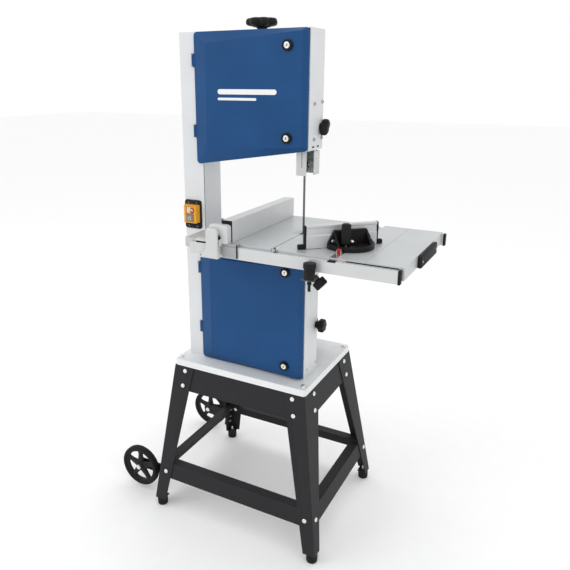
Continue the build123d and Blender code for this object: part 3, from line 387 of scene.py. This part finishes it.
def column_details():
    # dark strip down the column's right edge: painted shade of the seam between the front plate and the side
    seam_shade = Shape()
    seam_shade.slab((COLUMN_RIGHT + 0.02, COLUMN_RIGHT + 0.3), 0.7, 2.3, 906, 1177, 0.3, "x")
    seam_shade.make("column_seam_shade", "shadow_gap", "root", slot="black_plastic")
    # dark slabs on the housing's right side: painted shade of its two slots
    slot_shade = Shape()
    for y in (30, 62):
        slot_shade.slab((HOUSING_RIGHT + 0.15, HOUSING_RIGHT + 0.5), y - 7, y + 7, 1238, 1242, 1.9, "x")
    slot_shade.make("housing_slot_shade", "shadow_gap", "root", slot="black_plastic")
    # dark hex on each right-side screw head and a dark ring round it: painted shade and painted shadow
    sockets = Shape()
    for y, z in ((34.5, 1355), (86, 1359), (34, 1260), (86, 1262)):
        sockets.turned([(3.3, 3.0), (3.2, 3.3), (0.4, 3.4)], (HOUSING_RIGHT, y, z), RIGHT, 6)
        sockets.hoop([(4.6, 0), (5.6, 0), (5.4, 0.5), (4.6, 0.6)], (HOUSING_RIGHT + 0.1, y, z), RIGHT, 28)
    sockets.make("screw_painted_shade", "shadow_gap", "root", slot="black_plastic")
    rear = Shape()
    for x in (95, 244, 395):
        for z in (565, 888, 1255, 1530):
            rear.turned([(5, 0), (5, 1.6), (3.8, 2.6), (0.5, 2.9)], (x, HOUSING_BACK, z), BACK, 20)
    rear.make("rear_screws", "zinc", "root", slot="zinc")
    plugs = Shape()
    for z in (700, 1100, 1480):
        plugs.turned([(6, 0), (6, 0.8), (4.6, 2.0), (0.5, 2.4)], (0.2, 47, z), LEFT, 24)
    plugs.make("column_plugs", "black_plastic", "root", slot="black_plastic")


# ---------------------------------------------------------------- knobs
def hand_wheel():
    profile = [(12, 0.4), (12.5, 5), (16, 9), (28, 12.2), (41, 15), (45, 18.5), (46, 24), (44.5, 30),
               (40, 33.4), (33, 34.6), (24, 34.2), (18, 31.4), (13.5, 31.0), (12, 33.2), (9, 34.4),
               (0.5, 34.6)]
    wheel = Shape().turned(profile, HAND_WHEEL, UP, 112, lobes(7, 0.2, 0.5))
    wheel.turned([(5, -149), (5, 2)], HAND_WHEEL, UP, 20)
    wheel.make("hand_wheel", "black_plastic", "tension_handwheel", replaces=("tension_handwheel",),
               slot="black_plastic", angle=50)


def star_grip(name, node, origin, axis, radius, height, neck, stem):
    profile = [(neck, -9), (neck * 0.92, -3), (radius * 0.72, 0.5), (radius * 0.97, 3), (radius, 6),
               (radius, height - 5), (radius * 0.95, height - 2), (radius * 0.8, height), (0.5, height + 0.6)]
    grip = Shape().turned(profile, origin, axis, 96, lobes(6, 0.17, 0.55))
    grip.turned([(4, -stem), (4, -8)], origin, axis, 16)
    grip.make(name, "black_plastic", node, replaces=(node,), slot="black_plastic", angle=50)


def wing_knob():
    def wing(a):
        # two opposite wings, leaning 60 degrees
        return 0.34 + 0.66 * abs(math.cos(a - math.radians(60))) ** 2.2

    knob = Shape().turned([(21, 0), (24, 3), (24, 12), (22, 17), (17, 20), (0.5, 20.4)],
                          WING_KNOB, RIGHT, 72, wing)
    knob.turned([(11, -4), (11.5, -1), (11, 12), (9, 17)], WING_KNOB, RIGHT, 32)
    knob.turned([(4, -17), (4, -3)], WING_KNOB, RIGHT, 16)
    knob.make("wing_knob", "black_plastic", "post_clamp_knob", replaces=("post_clamp_knob",),
              slot="black_plastic", angle=50)


def fluted(radius, height, base):
    # profile of a round grip with a soft rim at both ends
    return [(radius * 0.86, base), (radius, base + 1.6), (radius, base + height - 3.0),
            (radius * 0.93, base + height - 0.9), (radius * 0.8, base + height), (0.5, base + height + 0.2)]


def table_knobs():
    clamp = Shape().turned(fluted(14.5, 31, 936), RAIL_CLAMP, UP, 112, lobes(14, 0.09, 0.6))
    clamp.turned([(15.0, 964), (17.4, 965.4), (17.6, 976), (16.2, 978.2), (9, 979), (0.5, 979)],
                 RAIL_CLAMP, UP, 8)
    clamp.turned([(3.9, 903), (3.9, 938)], RAIL_CLAMP, UP, 20)
    clamp.turned([(6.6, 921), (6.6, 927)], RAIL_CLAMP, UP, 6)
    clamp.make("clamp_handle", "black_plastic", "rail_clamp_handle", bevel=0.5, angle=38,
               replaces=("rail_clamp_handle",), slot="black_plastic")
    lean = math.radians(TILT_KNOB_LEAN)
    axis = (math.cos(lean), 0, -math.sin(lean))
    tilt = Shape().turned(fluted(18, 21, 4.4), TILT_KNOB, axis, 128, lobes(16, 0.08, 0.6))
    tilt.turned([(4, -2), (4, 6)], TILT_KNOB, axis, 20)
    tilt.make("tilt_grip", "black_plastic", "tilt_lock_knob", angle=38, replaces=("tilt_lock_knob",),
              slot="black_plastic")
    dot = Shape().turned([(3.2, 0), (3.2, 0.8), (2.4, 1.3), (0.3, 1.4)], (514, -190, 935), UP, 20)
    dot.make("bracket_dot", "lime_dot", "table", slot="yellow_plastic")


# ---------------------------------------------------------------- rip fence
def rip_fence():
    beam_top = local("fence_beam")[1].z
    top = beam_top - 9
    upright = (200, 259, -174, -151.6)
    step = (198, 240, -181.5, -157.2)
    wing = (158, 200, -180, -158)
    stem = (200, 238, -193, -184)
    shoe_left = 240
    shoe_right = 286
    body = Shape()
    body.loft([(991.8, *upright, 2), (top - 6, *upright, 2),
               (top - 2, 202, 257, -172, -152.6, 3), (top, 206, 253, -169, -155, 4)])
    body.loft([(984.6, *step, 2), (1000, *step, 2), (1004, 200, 238, -180, -160, 3)])
    body.loft([(992.5, *wing, 3), (996.6, *wing, 3), (998, 160, 200, -178, -160, 3)])
    body.slab((960, 987.8), 160, 236, -181.5, -170.2, 2)
    body.make("fence_body", "white_enamel", "fence", bevel=0.6, replaces=("fence_carriage",),
              slot="white_paint")
    # dark blocks in the slot of the wing plate and in front of the lever stem: painted shade between the
    # parts
    gap_shade = Shape().box(161, 199, -179, -159.5, 987.7, 992.6)
    gap_shade.box(203, 238, -182.6, -174.0, 1004, 1011)
    gap_shade.make("fence_gap_shade", "shadow_gap", "fence", slot="black_plastic")
    seal = Shape().slab((-151.7, -150.0), 228.2, 260.8, 991.5, beam_top, 1.2, "y")
    seal.make("fence_seal", "soft_black", "fence", slot="black_plastic")
    shoe = Shape()
    shoe.loft([(990.8, shoe_left, shoe_right, -171, -150.5, 1.5),
               (992.2, shoe_left + 1, shoe_right - 1, -170, -151.5, 1.5)])
    shoe.slab((984.9, 991.0), shoe_left, shoe_right, -171, -157.3, 1.2)
    shoe.slab((954, 985.2), shoe_left + 1, shoe_right, -173.5, -169.4, 1.2)
    shoe.make("fence_shoe", "grey_casting", "fence", bevel=0.5, slot="white_paint")
    strip = Shape().slab((954, 992.4), shoe_right + 0.1, shoe_right + 2, -173.8, -169.4, 0.8)
    strip.make("shoe_strip", "soft_black", "fence", slot="black_plastic")
    lever = Shape()
    lever.loft([(953.5, 186.5, 242.5, -199, -184, 3), (955.5, 185.5, 243.5, -200, -184, 4),
                (962, 190, 241, -198, -184, 5), (972, 196.5, 239, -195, -184, 5),
                (984, *stem, 4.4), (1023, *stem, 4.4), (1030, 201.5, 236.5, -192, -184, 4),
                (1034, 205, 233, -190, -185, 2)])
    lever.turned([(5.8, 0), (5.8, 28)], (205, -180, 1020), RIGHT, 32)
    lever.make("lever_grip", "white_enamel", "fence_lever", replaces=("fence_lever",), slot="white_paint",
               angle=60)
    cap = Shape().loft([(236.1, 228.4, 260.6, 991.6, beam_top, 1.0),
                        (238.6, 229, 260, 992.2, beam_top - 0.6, 1.5)], "y")
    cap.make("fence_end_cap", "soft_black", "fence", slot="black_plastic")


# ---------------------------------------------------------------- mitre gauge
def arc(radius, start, end, steps):
    # points round the origin from one angle to another, in degrees
    return [(radius * math.cos(math.radians(start + (end - start) * k / steps)),
             radius * math.sin(math.radians(start + (end - start) * k / steps))) for k in range(steps + 1)]


def mitre_gauge():
    place = Matrix.Translation(MITRE_PIVOT) @ Matrix.Rotation(math.radians(MITRE_TURN), 4, "Z")
    disc = 65
    grip_base = 1006
    head = Shape(place)
    head.prism(arc(disc, -180, 0, 40) + [(disc, 4), (-disc, 4)], 0, 8)
    rim = arc(disc, -178, -2, 40) + arc(disc - 8, -2, -178, 40)
    head.prism(rim, 7.5, 12.5)
    head.prism(arc(18, 0, 360, 35)[:-1], 7.5, 15.5)
    head.prism([(-64, 0), (64, 0), (64, 12), (46, 47), (-46, 47), (-64, 12)], -3.8, 5.9, "y")
    for x in (-46, 46):
        head.prism([(-2, 7.5), (-2, 42), (-34, 12), (-34, 7.5)], x - 2.5, x + 2.5, "x")
    head.make("mitre_body", "black_plastic", "mitre_head", bevel=0.8, replaces=("mitre_head",),
              slot="cast_alloy")
    face = Shape(place)
    section = [(6.2, 0.4), (6.2, 34), (8.2, 36), (8.2, 54), (6.2, 56), (6.2, 61.4), (21, 61.4), (21, 56),
               (17, 54), (17, 36), (21, 34), (21, 0.4)]
    face.skin([[(x, y, z) for y, z in section] for x in (-121.5, 80.5)])
    face.make("mitre_face", "anodised_long", "mitre_head", bevel=0.4, replaces=("mitre_fence",),
              slot="extrusion")
    ends = Shape(place)
    for x0, x1 in ((-125, -121.4), (80.4, 84)):
        ends.slab((x0, x1), 6.1, 21.2, 0.4, 61.4, 1.6, "x")
    for x0, x1 in ((-143, -124), (83, 98)):
        ends.loft([(0.6, x0, x1, 5, 19, 2), (10.5, x0, x1, 5, 19, 2), (12, x0 + 1.5, x1 - 1.5, 6.5, 17.5, 2)])
    ends.make("mitre_ends", "soft_black", "mitre_head", bevel=0.4, slot="black_plastic")
    bolts = Shape(place)
    for x in (-51, 51):
        bolts.turned([(5, 0), (5, 3), (4, 4), (0.5, 4.2)], (x, -3.8, 19), FRONT, 20)
    bolts.turned([(6.5, 15), (6.5, 19), (5.6, 20), (3.2, 20), (3.2, 22), (0.5, 22.4)], (0, -10.5, 0), UP, 6)
    bolts.make("mitre_bolts", "zinc", "mitre_head", slot="zinc")
    top = local("mitre_knob")[1].z
    knob = Shape().turned(fluted(12.5, top - 1.6 - grip_base, grip_base), MITRE_KNOB, UP, 112,
                          lobes(14, 0.1, 0.6))
    knob.turned([(7, grip_base - 1.8), (8.4, grip_base - 1), (8.4, grip_base + 1)], MITRE_KNOB, UP, 24)
    knob.turned([(8.5, top - 1.8), (8.2, top - 0.3), (0.5, top - 0.1)], MITRE_KNOB, UP, 24)
    knob.make("mitre_grip", "black_plastic", "mitre_knob", angle=38, replaces=("mitre_knob",),
              slot="black_plastic")
    pointer = Shape()
    pointer.loft([(990, 551, 564, -118, -110, 1.5), (1001, 551, 564, -118, -110, 1.5),
                  (1004, 553, 562, -117, -110.5, 2)])
    pointer.prism([(553, -111), (562, -111), (557.5, -101.2)], 998.4, 1000.4)
    pointer.make("mitre_pointer", "signal_red", "mitre_bar", bevel=0.4, slot="black_plastic")


# ---------------------------------------------------------------- table
def table_details():
    top = local("table_rails")[1].z
    strip = Shape()
    for x0, x1 in ((266, 545), (570, 722)):
        strip.slab((top + 0.02, top + 0.35), x0, x1, -167.5, -158.6, 0.8)
    strip.make("scale_strip", "anodised", "table", slot="extrusion")
    ticks = Shape()
    for k in range(46):
        # one line for each 10 mm, longer at each fifth, none over the mitre slot
        x = 268 + 10 * k
        if 544 < x < 571:
            continue
        length = 6.2 if k % 5 == 0 else 3.6
        ticks.box(x - 0.35, x + 0.35, -167.2, -167.2 + length, top + 0.3, top + 0.5)
    ticks.make("scale_ticks", "tick_ink", "table", slot="black_plastic")
    dot = Shape().turned([(2.6, 0), (2.6, 0.7), (0.3, 0.9)], (588, -163, top + 0.3), UP, 20)
    dot.make("scale_dot", "signal_orange", "table", slot="yellow_plastic")
    pin = Shape()
    pin.wire([(390, -151, 990.0), (390, -152, 993.2), (391.5, -155, 995), (395, -157, 995),
              (398, -160, 993.6), (398, -162, 984.4)], 1.5)
    pin.turned([(4.2, 0), (4.2, 1.2), (2.4, 2)], (398, -162, 984), UP, 20)
    pin.make("slit_pin", "dark_steel", "table", slot="steel")
    # dark strips in the gap between front rail and table, and on the mitre slot's floor at its front opening:
    # painted shade
    gap_shade = Shape()
    for x0, x1 in ((134, 544), (571, 726)):
        gap_shade.box(x0, x1, -156.95, -156.1, 981, top - 0.6)
    floor = local("mitre_bar")[0].z
    gap_shade.box(546.4, 568.6, -168.4, -157.4, floor - 0.35, floor - 0.1)
    gap_shade.make("rail_gap_shade", "shadow_gap", "table", slot="black_plastic")
    cover = Shape().box(*RAIL_ENDS, -168.97, -165.3, 963.03, 969.97)
    cover.make("rail_cover", "anodised", "table", slot="extrusion")
    edge = local("table_extension")[0].y
    # dark line along the extension's front edge: painted shade
    line = Shape().box(592, 727, edge - 0.2, edge + 0.05, top + 0.3, top + 3.0)
    line.make("extension_gap_shade", "shadow_gap", "extension", slot="black_plastic")
    ring = Shape().hoop([(28.5, -0.4), (28.5, 0.25), (33.6, 0.25), (33.6, -0.4)],
                        (*BLADE_PLACE, TABLE_TOP), UP, 72)
    ring.make("insert_ring", "ground_steel", "table", slot="table_metal")


def extension_grip():
    low, high = local("extension_grip")
    foot = max(low.z, high.z - 33)
    near_end = [(0, -4, 3, -2, 3), (2.5, -1, 0.8, -0.4, 4), (7, 0, 0, 0, 4)]
    levels = [(low.y + y, low.x, high.x + x, foot + z0, high.z + z1, r) for y, x, z0, z1, r in near_end]
    levels += [(high.y - y, low.x, high.x + x, foot + z0, high.z + z1, r)
               for y, x, z0, z1, r in reversed(near_end)]
    grip = Shape().loft(levels, "y")
    grip.make("extension_handle", "soft_black", "extension", replaces=("extension_grip",),
              slot="black_plastic", angle=60)
    sockets = Shape()
    screws = Shape()
    for y in (low.y + 14, high.y - 14):
        centre = (high.x - 0.1, y, (foot + high.z) / 2)
        sockets.hoop([(4.2, -1), (4.2, 0.25), (5.4, 0.25), (5.8, -1)], centre, RIGHT, 28)
        screws.turned([(3.6, -0.5), (3.4, 0), (2.4, 0.15), (0.4, 0.2)], centre, RIGHT, 18)
    sockets.make("handle_sockets", "black_plastic", "extension", slot="black_plastic")
    screws.make("handle_screws", "zinc", "extension", slot="zinc")


# ---------------------------------------------------------------- switch
def switch():
    outline = (2, 62, 975, 1064)
    start_cap = (19.6, 46.4, 1024.6, 1046.4)
    stop_cap = (19.6, 46.4, 1000.6, 1021.4)
    plate = Shape().loft([(-0.2, *outline, 8), (-3.6, *outline, 8), (-5.4, 3.6, 60.4, 976.6, 1062.4, 7)], "y")
    plate.make("switch_back", "black_plastic", "root", replaces=("switch_plate",), slot="black_plastic",
               angle=50)
    screws = Shape()
    for x in (17, 47):
        for z in (983, 1056):
            screws.turned([(2.6, 0), (2.4, 0.8), (0.4, 0.9)], (x, -5.3, z), FRONT, 16)
    screws.make("switch_screws", "dark_steel", "root", slot="zinc")
    body = Shape()
    for w, z0, z1 in ((3.5, 996, 1000), (3.5, 1022.2, 1023.8), (3.5, 1047.3, 1051)):
        body.loft([(-5.2, 10, 56, z0, z1, 0.7), (-24, 11.5, 55, z0, z1, 0.7)], "y")
    body.loft([(-5.2, 8, 18.8, 996, 1051, 2), (-21, 10, 18.8, 996.5, 1050.5, 2),
               (-24, 12, 18.8, 998, 1049, 2)], "y")
    body.loft([(-5.2, 47.2, 58, 996, 1051, 2), (-21, 47.2, 57, 996.5, 1050.5, 2),
               (-24, 47.2, 55, 998, 1049, 2)], "y")
    body.slab((-5.2, -7.6), 12, 54, 998, 1049, 1, "y")
    body.make("switch_case", "yellow_plastic", "root", bevel=0.5, replaces=("switch_body",),
              slot="yellow_plastic")
    start = Shape().loft([(-12, *start_cap, 2), (-20, *start_cap, 2), (-22.5, 21, 45, 1026, 1045, 2.5)], "y")
    start.make("start_cap", "cream_plastic", "start_button", replaces=("start_button",),
               slot="cream_plastic")
    hook = [(41 + 6.5 * math.cos(math.radians(a)), -24.4, 1035.5 + 6.5 * math.sin(math.radians(a)))
            for a in range(-150, 121, 18)]
    Shape().wire(hook, 1.9, 12).make("start_guard", "signal_red", "root", slot="cream_plastic", angle=60)
    stop = Shape().loft([(-12, *stop_cap, 2), (-24, *stop_cap, 2), (-26.5, 21, 45, 1002, 1020, 2.5)], "y")
    stop.make("stop_cap", "grey_button", "stop_button", replaces=("stop_button",), slot="grey_plastic")
    mark = Shape().hoop([(4.2, 0), (5.2, 0), (5.2, 0.25), (4.2, 0.25)], (33, -26.5, 1011), FRONT, 28)
    mark.make("stop_mark", "white_print", "stop_button", slot="white_paint")


# ---------------------------------------------------------------- wheels and feet
def transport_wheel(node):
    low, high = local(node)
    centre = (low + high) / 2
    radius = (high.z - low.z) / 2
    half = (high.y - low.y) / 2
    front = [(radius - 14, -half + 3), (radius - 12, -half + 1), (radius - 5, -half),
             (radius - 1.5, -half + 3), (radius, -half + 8)]
    section = front + [(r, -y) for r, y in reversed(front)]
    tyre = Shape().hoop(section, centre, BACK, 96)
    tyre.make(node + "_tyre", "tyre_rubber", node, slot="rubber", angle=60)
    octagon = ((-0.75, -1), (0.75, -1), (1, -0.6), (1, 0.6), (0.75, 1), (-0.75, 1), (-1, 0.6), (-1, -0.6))
    hub = Shape()
    hub.hoop([(radius - 14.2, -8), (radius - 19, -6), (radius - 19, 6), (radius - 14.2, 8)], centre, BACK, 96)
    for k in range(5):
        a = math.radians(90 + 72 * k)
        u = Vector((math.cos(a), 0, math.sin(a)))
        v = Vector((-math.sin(a), 0, math.cos(a)))
        rings = []
        for r, width, thick in ((8, 14, 7), (20, 11, 6.5), (40, 8, 5), (radius - 18, 9, 5)):
            rings.append([centre + u * r + v * (s * width) + Vector((0, t * thick, 0)) for s, t in octagon])
        hub.skin(rings)
    for side in (-1, 1):
        hub.turned([(17, 4), (16, 9), (12, half - 0.6), (5.4, half - 0.2)], centre, (0, side, 0), 40)
    hub.make(node + "_hub", "wheel_plastic", node, replaces=(node,), slot="black_plastic", angle=45)


def foot_ribs():
    low, high = local("levelling_feet")
    ribs = Shape()
    for x in (low.x + 17, high.x - 17):
        for y in (low.y + 17, high.y - 17):
            for z in (8.5, 14.5, 20.5):
                ribs.hoop([(16.6, -1.2), (17.5, -0.7), (17.5, 0.7), (16.6, 1.2)], (x, y, z), UP, 40)
    ribs.make("foot_ribs", "tyre_rubber", "root", slot="rubber")


# ---------------------------------------------------------------- drive, blade and guide
def blade_teeth():
    # small teeth along the front edge of the whole band
    low, high = local("saw_blade")
    outer = (high.x - low.x) / 2
    x_mid = (high.x + low.x) / 2
    top = high.z - outer
    bottom = low.z + outer
    inner = outer - 0.5
    straight = top - bottom
    total = 2 * straight + 2 * math.pi * outer
    count = 2 * round(total / 7)

    def point(distance, radius):
        if distance < straight:
            return x_mid + radius, bottom + distance
        distance -= straight
        if distance < math.pi * outer:
            a = distance / outer
            return x_mid + radius * math.cos(a), top + radius * math.sin(a)
        distance -= math.pi * outer
        if distance < straight:
            return x_mid - radius, top - distance
        a = math.pi + (distance - straight) / outer
        return x_mid + radius * math.cos(a), bottom + radius * math.sin(a)

    rings = []
    for k in range(count):
        distance = total * k / count
        reach = 2.2 if k % 2 else 0.2
        ring = []
        for radius, y in ((outer - 0.02, low.y + 0.2), (outer - 0.1, low.y - reach),
                          (inner + 0.1, low.y - reach), (inner + 0.02, low.y + 0.2)):
            x, z = point(distance, radius)
            ring.append((x, y, z))
        rings.append(ring)
    Shape().skin(rings, closed=True).make("blade_teeth", "blade_steel", "root", slot="steel", angle=10)


def guide_details():
    rollers = Shape()
    for x in (377.7, 389.8):
        rollers.hoop([(3.3, 0), (5.7, 0), (5.7, 0.7), (3.3, 0.7)], (x, 42.8, 1174), FRONT, 32)
    rollers.hoop([(3.0, -4.2), (6.7, -4.2), (6.7, 4.2), (3.0, 4.2)], (BLADE_PLACE[0], 60.15, 1188), RIGHT, 32)
    rollers.make("roller_faces", "black_plastic", "guide", slot="black_plastic")
    eye = Shape().hoop([(3.2, -0.4), (3.6, 0.5), (6.0, 0.7), (6.8, 0)], (GUARD_RIGHT + 0.1, 68, 1205),
                       RIGHT, 32)
    for z in (1172, 1218):
        eye.turned([(3.6, 0), (3.6, 0.5), (2.6, 0.8), (0.3, 0.9)], (GUARD_RIGHT, 56, z), RIGHT, 18)
    eye.make("guard_screws", "zinc", "guide", slot="zinc")


def motor_details():
    centre = Vector((MOTOR_AXIS[0], local("motor")[1].y, MOTOR_AXIS[1]))
    grille = Shape()
    for r in (16, 24, 32, 40, 48, 56):
        grille.hoop([(r - 1.4, -1.5), (r - 1.4, 1.4), (r + 1.4, 1.4), (r + 1.4, -1.5)], centre, BACK, 56)
    for k in range(6):
        a = math.radians(60 * k)
        start = centre + Vector((8 * math.cos(a), 1, 8 * math.sin(a)))
        grille.wire([start, centre + Vector((60 * math.cos(a), 1, 60 * math.sin(a)))], 2.0)
    grille.make("motor_grille", "motor_coat", "root", slot="motor_paint")
    lid = Shape().loft([(715.8, *MOTOR_LID, 4), (719, *MOTOR_LID, 4), (721, 262, 322, 128, 186, 4)])
    lid.make("terminal_lid", "black_plastic", "root", slot="black_plastic")
    nuts = Shape()
    for x in (266, 318):
        for y in (132, 182):
            nuts.turned([(3.4, 720.6), (3.2, 723), (0.4, 723.4)], (x, y, 0), UP, 16)
    nuts.make("terminal_screws", "zinc", "root", slot="zinc")


def hub_caps():
    for node, z in WHEEL_Z.items():
        cap = Shape().hoop([(20.5, 0), (20.5, -1.6), (32, -1.6), (33, -0.4), (33, 0.4)],
                           (WHEEL_X, HUB_FACE_Y, z), BACK, 56)
        for k in range(6):
            a = math.radians(30 + 60 * k)
            bolt = (WHEEL_X + HUB_BOLT_R * math.cos(a), HUB_FACE_Y - 1.55, z + HUB_BOLT_R * math.sin(a))
            cap.turned([(2.6, 0), (2.4, 1.6), (0.3, 1.8)], bolt, FRONT, 14)
        cap.make(node + "_cap", "zinc", node, slot="cast_alloy")


def port_ribs():
    ribs = Shape()
    for y in (108, 120, 132):
        ribs.hoop([(49.5, -1.6), (51.2, -0.4), (51.2, 0.6), (49.5, 1.6)], (PORT_AXIS[0], y, PORT_AXIS[1]),
                  BACK, 72)
    ribs.make("port_ribs", "black_plastic", "root", slot="black_plastic")


# ---------------------------------------------------------------- stage
def studio():
    bpy.ops.mesh.primitive_plane_add(size=40, location=(0, 0, -0.0005))
    floor = bpy.context.object
    floor.name = "floor"
    floor.data.materials.append(surface("floor_paper", (0.96, 0.96, 0.96), 0.8, mottle=0.01, grain=0.02))
    world = bpy.data.worlds.new("studio")
    bpy.context.scene.world = world
    world.use_nodes = True
    world.node_tree.nodes["Background"].inputs["Color"].default_value = (1, 1, 1, 1)
    world.node_tree.nodes["Background"].inputs["Strength"].default_value = 1.0
    bpy.context.scene.view_settings.view_transform = "Standard"
    middle = Vector((0.0, 0.0, 0.85))
    lights = (("key", (-2.6, -3.2, 3.4), 2.6, 34), ("fill", (3.4, -2.2, 2.0), 2.4, 3),
              ("top", (0.2, 0.6, 4.2), 2.8, 12))
    for name, place, size, power in lights:
        light = bpy.data.lights.new(name, "AREA")
        light.size = size
        light.energy = power
        lamp = bpy.data.objects.new(name, light)
        lamp.location = place
        aim = middle - Vector(place)
        lamp.rotation_euler = aim.to_track_quat("-Z", "Y").to_euler()
        bpy.context.scene.collection.objects.link(lamp)


def camera():
    # eye place in millimetres from the column's edge, looking down and turned to the left
    place = Vector((1092.15, -1518.18, 1416.11))
    down = 16.85
    turn = 28.23
    view = bpy.data.cameras.new("view")
    view.sensor_width = 36.0
    view.lens = 38.23
    view.shift_x = 0.0374
    view.shift_y = -0.0378
    view.clip_end = 100
    eye = bpy.data.objects.new("view", view)
    eye.location = ORIGIN + place * MM
    eye.rotation_euler = (math.radians(90 - down), 0, math.radians(turn))
    bpy.context.scene.collection.objects.link(eye)
    bpy.context.scene.camera = eye


camera()
studio()
finish_cad()
door_details()
lock_faces()
column_details()
hand_wheel()
star_grip("belt_grip", "belt_tension_knob", BELT_KNOB, RIGHT, 21, 20, 11, 21)
star_grip("tracking_grip", "tracking_knob", TRACKING_KNOB, BACK, 20, 17, 10, 20)
wing_knob()
table_knobs()
rip_fence()
mitre_gauge()
table_details()
extension_grip()
switch()
transport_wheel("transport_wheel_front")
transport_wheel("transport_wheel_rear")
foot_ribs()
blade_teeth()
guide_details()
motor_details()
hub_caps()
port_ribs()
